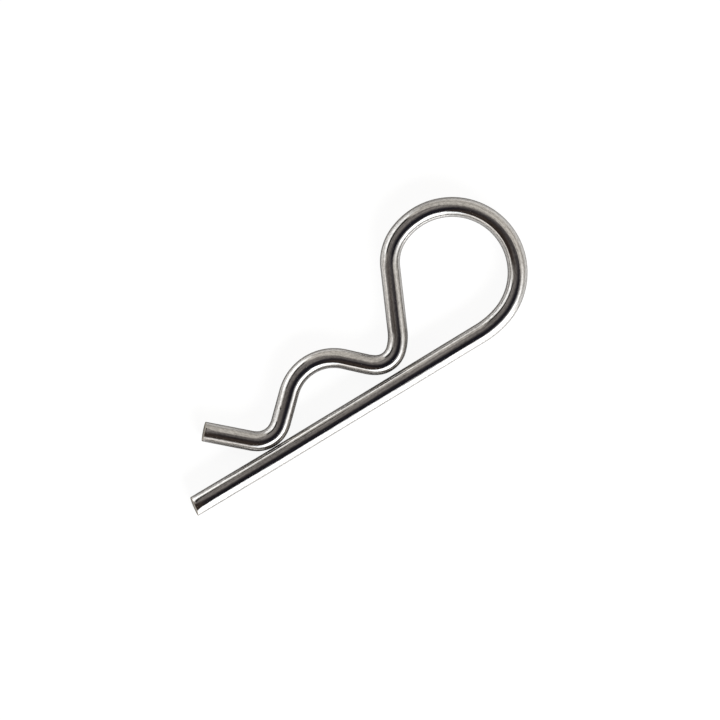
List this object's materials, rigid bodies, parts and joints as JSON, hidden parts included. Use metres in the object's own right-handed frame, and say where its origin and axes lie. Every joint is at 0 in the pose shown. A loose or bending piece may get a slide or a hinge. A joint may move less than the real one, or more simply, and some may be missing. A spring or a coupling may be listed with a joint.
{
  "type": "spring cotter pin",
  "caption": "One-piece bent spring wire clip with a straight leg, an open eye and a wavy leg that springs over a shaft.",
  "frame": {"origin": "middle of the shaft seat: on the straight leg's axis, square below the centre of the hump, in the mid-plane of the wire", "axes": "+X along the straight leg from its tip towards the eye, +Y from the straight leg towards the wavy leg, +Z square to the clip's flat side, along the axis of the shaft that it pins"},
  "size_m": [0.0838, 0.0304, 0.004],
  "materials": {
    "polished_wire": "bright polished spring steel wire, nearly a mirror, with faint draw lines along its length and matt sheared ends"
  },
  "bodies": {
    "root": {"spring_wire": "polished_wire"}
  },
  "joints": []
}
